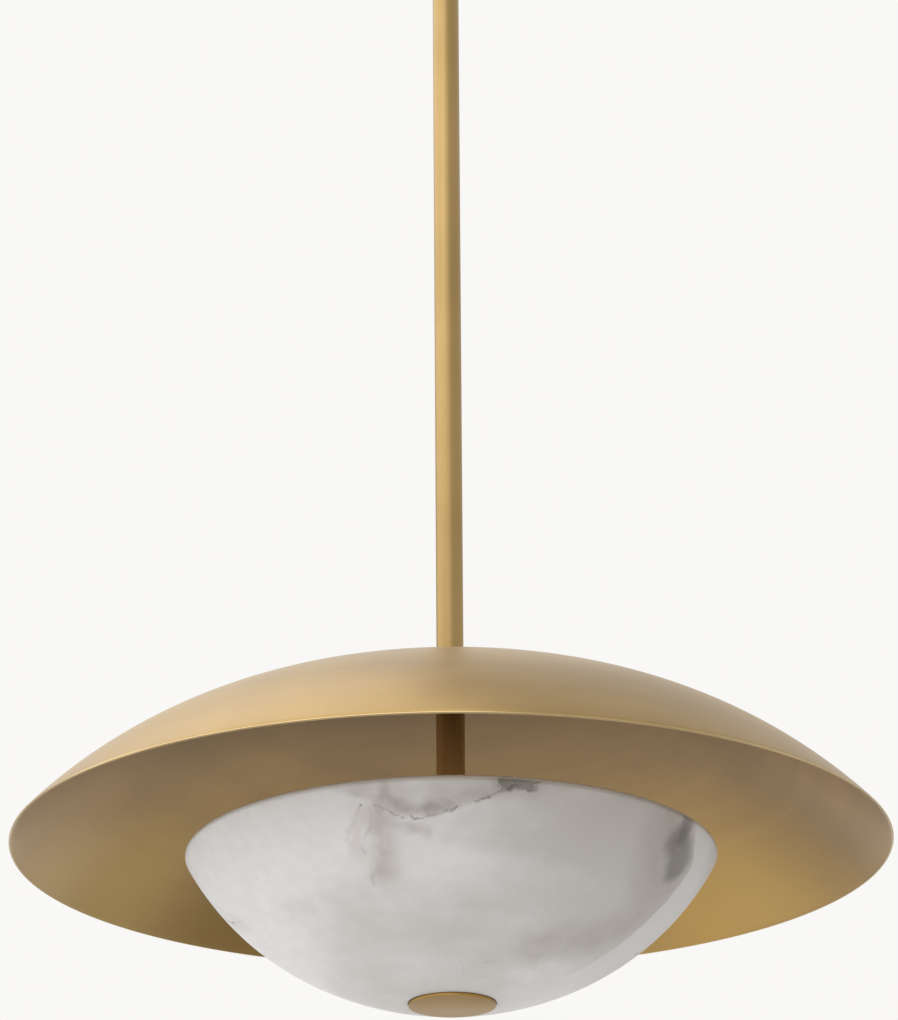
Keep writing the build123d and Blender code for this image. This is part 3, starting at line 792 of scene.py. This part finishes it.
pads = [face for face in bm.faces if in_groove(face)]
bmesh.ops.inset_individual(
    bm, faces=pads, thickness=knurl_gap, depth=knurl_depth, use_even_offset=True,
)
bm = broken(bm, file_stroke, (collar_radius, collar_top))
piece("knurled_collar", bm, "swivel_collar", turned_brass)
print("knurl:", len(pads), "pads")

# %% [markdown]
# ## The neck
# The neck joins the swivel's ball to the stem. It is thin above, so that the stem can lean before
# the neck meets the collar's mouth, and a cone brings it out to the stem's own width.
# %% Turn the neck
neck_radius = 0.006
neck_cone = 0.0035                 # the cone's height
neck_round = 0.0004
spigot_radius = 0.005
pipe_bore = 0.00325                # the wires' way, the same from the neck to the bulbs
ball_flat = 0.011                  # below the ball's centre
plug_room = 0.00125                # from the stem's outside to the plug
stem_top = top_of("stem")
stem_radius = radius_of("stem")
plug_radius = stem_radius - plug_room
cone_top = stem_top + neck_cone
neck_top = swivel_z - ball_flat
spigot_top, plug_foot = top_of("stem_neck"), foot_of("stem_neck")
profile = Lathe(pipe_bore, plug_foot).line(
    (plug_radius, plug_foot), (plug_radius, stem_top), (stem_radius, stem_top),
    (neck_radius, cone_top), (neck_radius, neck_top), (spigot_radius, neck_top),
    (spigot_radius, spigot_top), (pipe_bore, spigot_top),
)
bm = broken(profile.turned(72), neck_round, (stem_radius, stem_top), (neck_radius, cone_top))
piece("turned_neck", bm, "stem_neck", turned_brass)

# %% [markdown]
# ## Screw threads
# A thread is a small triangle carried round the axis while it climbs, which is what a spin does
# when it is also given a step of translation. One turn is spun. Then everything so far is copied
# on top of itself, again and again, so that eight copies make 256 turns of a lamp pipe.
# %% Cut a thread
def thread(radius, depth, foot, top, doublings, steps=20):
    """A thread whose crest lies on a radius. Its root sinks into the core that it runs on."""
    pitch = (top - foot) / (2 ** doublings + 1)
    bm = bmesh.new()
    root = radius - 1.2 * depth
    corners = ((radius, foot + pitch / 2), (root, foot), (root, foot + 0.9 * pitch))
    verts = [bmesh.ops.create_vert(bm, co=(r, 0, z))["vert"][0] for r, z in corners]
    for pair in zip(verts, verts[1:] + verts[:1]):
        bmesh.ops.contextual_create(bm, geom=pair)
    bmesh.ops.spin(
        bm, geom=bm.verts[:] + bm.edges[:], cent=(0, 0, 0), axis=(0, 0, 1),
        dvec=(0, 0, pitch / steps), angle=2 * pi, steps=steps,
    )
    for k in range(doublings):
        copy = bmesh.ops.duplicate(bm, geom=bm.verts[:] + bm.edges[:] + bm.faces[:])["geom"]
        copied = [item for item in copy if isinstance(item, bmesh.types.BMVert)]
        bmesh.ops.translate(bm, verts=copied, vec=(0, 0, pitch * 2 ** k))
    bmesh.ops.remove_doubles(bm, verts=bm.verts[:], dist=1e-6)
    bmesh.ops.holes_fill(bm, edges=[edge for edge in bm.edges if edge.is_boundary], sides=3)
    bmesh.ops.recalc_face_normals(bm, faces=bm.faces[:])
    return bm


def together(*parts):
    """One bmesh of several."""
    whole = bmesh.new()
    for part in parts:
        mesh = bpy.data.meshes.new("part")
        part.to_mesh(mesh)
        part.free()
        whole.from_mesh(mesh)
        bpy.data.meshes.remove(mesh)
    return whole


# %% [markdown]
# ## Finishes for the fittings
# The small parts are plated steel, porcelain, rubber, nylon, aluminium and opal glass. Each one
# is a ground colour with a mottle at the scale that the real material shows.
# %% Mottled finishes
def mottled(name, colour, other, roughness, scale, spread=(0.35, 0.65), bump=0.0, **constants):
    """A finish that drifts between two colours, with roughness and bump from the same noise."""
    finish = Finish(name, colour, roughness, **constants)
    place, _ = finish.place()
    coarse = finish.noise(place, scale, 4.0)
    fine = finish.noise(place, scale * 12.0)
    finish.set("Base Color", finish.blend((coarse * 0.7 + fine * 0.3).ramp(*spread), colour, other))
    finish.set("Roughness", fine * 0.10 + (roughness - 0.05))
    return finish.bump(fine, bump, 0.4) if bump else finish


zinc = mottled(
    "zinc_steel", (0.50, 0.50, 0.48), (0.38, 0.39, 0.40), 0.36, 160.0, bump=0.00002, Metallic=1.0,
)
green_screw = mottled(
    "green_screw", (0.035, 0.22, 0.075), (0.02, 0.15, 0.05), 0.32, 220.0,
    bump=0.00001, Metallic=0.6,
)
nylon = mottled("nylon", (0.76, 0.75, 0.70), (0.70, 0.68, 0.62), 0.45, 120.0, Subsurface_Weight=0.1)
rubber = mottled("rubber", (0.028, 0.028, 0.028), (0.045, 0.044, 0.042), 0.75, 260.0, bump=0.00003)
porcelain = mottled(
    "porcelain", (0.80, 0.79, 0.75), (0.76, 0.745, 0.70), 0.16, 90.0, bump=0.00001, Coat_Weight=0.5,
)
cap_metal = mottled("cap_metal", (0.62, 0.62, 0.60), (0.52, 0.52, 0.51), 0.28, 200.0, Metallic=1.0)
opal = mottled(
    "opal_glass", (0.86, 0.85, 0.82), (0.83, 0.815, 0.78), 0.22, 40.0, Subsurface_Weight=0.3,
)
thread_brass = mottled(
    "thread_brass", (0.55, 0.38, 0.16), (0.42, 0.28, 0.11), 0.30, 240.0, Metallic=1.0,
)

# %% [markdown]
# ## The lamp pipe
# Threaded steel pipe holds the whole light together, from the stem's foot to the finial. A smooth
# core is turned first, and the thread runs on it from end to end.
# %% Thread the lamp pipe
pipe_radius = 0.005
pipe_thread = 0.0004
pipe_doublings = 8
pipe_top, pipe_foot = top_of("lamp_pipe"), foot_of("lamp_pipe")
pipe_core = pipe_radius - pipe_thread
profile = Lathe(pipe_core, pipe_foot)
profile.line((pipe_core, pipe_top), (pipe_bore, pipe_top), (pipe_bore, pipe_foot))
winding = thread(pipe_radius, pipe_thread, pipe_foot, pipe_top, pipe_doublings)
piece("threaded_pipe", together(profile.turned(40), winding), "lamp_pipe", zinc)

# %% [markdown]
# ## Lampholders and bulbs
# Three porcelain lampholders point outward from the hub, one to the front and two to the back
# corners, each with a small globe bulb. Each is turned about Z first and then laid along its arm.
# %% Lay pieces along the arms
lamp_angles = (-90, 30, 150)
lamp_low, lamp_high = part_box("bulb_1_globe")
lamp_z = (lamp_low.z + lamp_high.z) / 2
holder_back = 0.026                # distances from the axis, along an arm
holder_mouth = 0.062
holder_radius = 0.0135
holder_bore = 0.0078
holder_round = 0.0015
contact_seat = holder_back + 0.008
nipple_end = holder_back + 0.006
bulb_centre = holder_mouth + 0.029
bulb_radius = (lamp_high.z - lamp_low.z) / 2


def laid(bm, angle):
    """Lays a piece turned about Z along the arm at an angle."""
    lie_down = Matrix.Rotation(pi / 2, 4, "Y")
    turn = Matrix.Translation((0, 0, lamp_z)) @ Matrix.Rotation(radians(angle), 4, "Z") @ lie_down
    bmesh.ops.transform(bm, matrix=turn, verts=bm.verts[:])
    return bm


# %% [markdown]
# ## The lampholders
# Porcelain is pressed and glazed, which leaves no sharp corner, so its back and its mouth are
# rounded. Two shallow grooves run round it, as a press's tool would leave them.
# %% Turn the lampholders
back_round = 0.001
groove_places = (0.010, 0.026)     # from the lampholder's back
groove_depth = 0.0008
groove_slope = 0.0006
groove_width = 0.0028


def lampholder():
    """Glazed porcelain with two grooves round it and a rounded mouth."""
    corner = (holder_radius - back_round, holder_back + back_round)
    profile = Lathe(thread_radius, holder_back).line((corner[0], holder_back)).arc(corner, -90, 3)
    groove_radius = holder_radius - groove_depth
    for groove_place in groove_places:
        start = holder_back + groove_place
        end = start + groove_width
        profile.line((holder_radius, start), (groove_radius, start + groove_slope))
        profile.line((groove_radius, end - groove_slope), (holder_radius, end))
    outer = (holder_radius - holder_round, holder_mouth - holder_round)
    inner = (holder_bore + holder_round, holder_mouth - holder_round)
    profile.line((holder_radius, outer[1])).arc(outer, -90, 4)
    profile.line((inner[0], holder_mouth)).arc(inner, -90, 4)
    profile.line((holder_bore, contact_seat), (pipe_bore, contact_seat), (pipe_bore, nipple_end))
    profile.line((thread_radius, nipple_end))
    return profile.turned(64)


holders = together(*[laid(lampholder(), angle) for angle in lamp_angles])
piece("porcelain_lampholders", holders, "lampholders", porcelain)

# %% [markdown]
# ## The bulbs
# A small globe bulb is two pieces: an aluminium cap with a rolled thread, and the opal glass. The
# glass leaves the cap as a short neck, flares outward in a small arc and runs into the globe. The
# flare's centre lies where an arc of its radius touches both the neck and the globe.
# %% Turn the bulbs
cap_radius = 0.0069
cap_tip = holder_mouth - 0.024
cap_thread = 0.0007
cap_doublings = 2
cap_core = cap_radius - cap_thread
contact_radius = 0.003
contact_top = cap_tip + 0.0015
thread_start = cap_tip + 0.006
thread_end = holder_mouth - 0.0035
cap_collar = holder_mouth - 0.003
bulb_neck = 0.008
skirt_top = holder_mouth + 0.002
skirt_edge = 0.001
glass_flare = 0.006


def bulb_cap():
    """An aluminium cap with a rolled thread, a cone and a tip contact."""
    profile = Lathe(0, cap_tip).line((contact_radius, cap_tip), (contact_radius, contact_top))
    profile.line((cap_core, thread_start), (cap_core, thread_end))
    profile.line((cap_radius, cap_collar), (cap_radius, holder_mouth))
    profile.line((bulb_neck, skirt_top - skirt_edge), (bulb_neck, skirt_top), (0, skirt_top))
    rolled = thread(cap_radius, cap_thread, thread_start, thread_end, cap_doublings)
    return together(profile.turned(48), rolled)


def bulb_globe():
    """The envelope: a neck that flares into a globe."""
    meeting = bulb_centre - sqrt((bulb_radius + glass_flare) ** 2 - (bulb_neck + glass_flare) ** 2)
    spread = degrees(asin((bulb_centre - meeting) / (bulb_radius + glass_flare)))
    profile = Lathe(0, skirt_top).line((bulb_neck, skirt_top), (bulb_neck, meeting))
    profile.arc((bulb_neck + glass_flare, meeting), spread, 8)
    profile.arc((0, bulb_centre), -(90 + spread), 40)
    return profile.turned(72)


for number, angle in enumerate(lamp_angles, start=1):
    piece(f"bulb_{number}_screw_cap", laid(bulb_cap(), angle), f"bulb_{number}_cap", cap_metal)
    piece(f"bulb_{number}_glass", laid(bulb_globe(), angle), f"bulb_{number}_globe", opal)

# %% [markdown]
# ## Nodes that keep their shape
# The brackets, washers, nuts and gaskets have the right shape already. Each one only needs the
# finish of its material slot.
# %% Finish the remaining nodes
kept_finishes = {
    "steel": zinc, "earth_screw": green_screw, "brass": dome_brass, "brass_fitting": turned_brass,
    "nylon": nylon, "alabaster": stone, "rubber": rubber, "porcelain": porcelain,
    "cap_metal": cap_metal, "opal_glass": opal,
}
bright_nodes = ("lampholder_shells", "lampholder_contacts")
for name, node in frame["nodes"].items():
    finish = thread_brass if name in bright_nodes else kept_finishes[slot_of[name]]
    node.data.materials.clear()
    node.data.materials.append(finish.material)
print("finished:", len(frame["nodes"]), "nodes")

# %% [markdown]
# ## The studio
# The photograph has a pale, even background. In a real studio that is a lit wall. Here the world
# shows a plain pale tone to the camera and to reflections, while its light on the object is set
# on its own. Light Path tells the two kinds of ray apart.
# %% The background
background = (0.948, 0.939, 0.922)
ambient = 0.49

world = bpy.data.worlds.new("studio")
bpy.context.scene.world = world
world.use_nodes = True


class Sky(Finish):
    """The world's nodes, made in the same way as a finish's."""

    def __init__(self, tree):
        self.tree = tree


sky = Sky(world.node_tree)
rays = sky.node("ShaderNodeLightPath").socket.node
ray_kinds = ("Is Camera Ray", "Is Glossy Ray", "Is Transmission Ray")
camera_ray, glossy_ray, clear_ray = (Field(sky, rays.outputs[kind]) for kind in ray_kinds)
light = sky.node("ShaderNodeBackground", {}, {"Color": (1, 1, 1, 1), "Strength": ambient})
shown = sky.node("ShaderNodeBackground", {}, {"Color": (*background, 1), "Strength": 1.0})
seen = camera_ray.most(glossy_ray).most(clear_ray)
mixed = sky.node("ShaderNodeMixShader", {}, {0: seen, 1: light, 2: shown})
sky.tree.links.new(mixed.socket, sky.tree.nodes["World Output"].inputs["Surface"])


# %% [markdown]
# ## The lamps
# A very large softbox on the left models the metal, because a wide lamp gives the broad soft
# highlight of brushed brass. A smaller one in front fills the bowl, and three faint ones behind
# and below lift the right side and the inside of the dome. A lamp is set by how bright its face
# looks, so it can be made larger without growing brighter in the brass.
# %% Hang the lamps
def softbox(name, place, target, width, height, radiance):
    """A rectangular lamp that faces a point, and isn't seen itself by the camera."""
    data = bpy.data.lights.new(name, "AREA")
    data.shape = "RECTANGLE"
    data.size = width
    data.size_y = height
    data.energy = radiance * pi * width * height
    thing = bpy.data.objects.new(name, data)
    bpy.context.scene.collection.objects.link(thing)
    aim = (Vector(target) - Vector(place)).to_track_quat("-Z", "Y")
    thing.matrix_world = Matrix.Translation(place) @ aim.to_matrix().to_4x4()
    thing.visible_camera = False


light_middle = (0, 0, -0.78)
softboxes = {                      # place, width, height, radiance
    "key_left": ((-1.75, -0.35, 1.15), 5.0, 5.4, 1.3),
    "fill_front": ((-0.75, -2.9, 0.1), 2.6, 3.4, 0.85),
    "back_top": ((-0.5, 2.3, 1.0), 1.8, 1.6, 0.20),
    "low_left": ((-1.7, 0.6, -2.2), 2.4, 2.4, 0.20),
    "floor_bounce": ((0.1, 0.7, -2.4), 4.4, 4.4, 0.12),
}
for name, (place, width, height, radiance) in softboxes.items():
    softbox(name, place, light_middle, width, height, radiance)
print("lamps:", len(softboxes))

# %% [markdown]
# ## The floor and a bounce board
# A pale board under the light, out of the picture, sends light up into the bowl, as a photographer
# would do. The floor lies far below it, so that the pendant can also be looked at from beneath. To
# the camera the floor is nearly as pale as the background and fades into it, but it keeps a shadow.
# %% Lay the board and the floor
board_height, board_reach = -2.6, 6.0
floor_height, floor_reach = -7.2, 20.0
fade_start, fade_end = 0.2, 0.85   # shares of the reach between which the floor becomes background
floor_glow = 0.6                   # how much of the background's tone the near floor shows


def ground(name, height, reach, finish):
    """A level sheet, centred under the light."""
    bm = bmesh.new()
    bmesh.ops.create_grid(bm, x_segments=1, y_segments=1, size=reach)
    bmesh.ops.translate(bm, verts=bm.verts[:], vec=(0, 0, height))
    mesh = bpy.data.meshes.new(name)
    bm.to_mesh(mesh)
    bm.free()
    mesh.materials.append(finish.material)
    thing = bpy.data.objects.new(name, mesh)
    bpy.context.scene.collection.objects.link(thing)
    return thing


def floor_paint(name):
    return mottled(name, (0.85, 0.84, 0.82), (0.84, 0.83, 0.81), 0.9, 2.0)


board = ground("bounce_board", board_height, board_reach, floor_paint("board"))
board.visible_camera = False
board.visible_shadow = False

paint = floor_paint("floor")
_, (x, y, _) = paint.place()
fade = (x * x + y * y).root().ramp(fade_start * floor_reach, fade_end * floor_reach)
seen = paint.node("ShaderNodeLightPath", output="Is Camera Ray")
glow = paint.node("ShaderNodeEmission", {}, {"Color": (*background, 1), "Strength": 1.0})
lit = Field(paint, paint.shader.outputs["BSDF"])
amount = seen * (fade * (1 - floor_glow) + floor_glow)
mixed = paint.node("ShaderNodeMixShader", {}, {0: amount, 1: lit, 2: glow})
paint.tree.links.new(mixed.socket, paint.tree.nodes["Material Output"].inputs["Surface"])
ground("floor", floor_height, floor_reach, paint)

bpy.context.scene.view_settings.view_transform = "Standard"
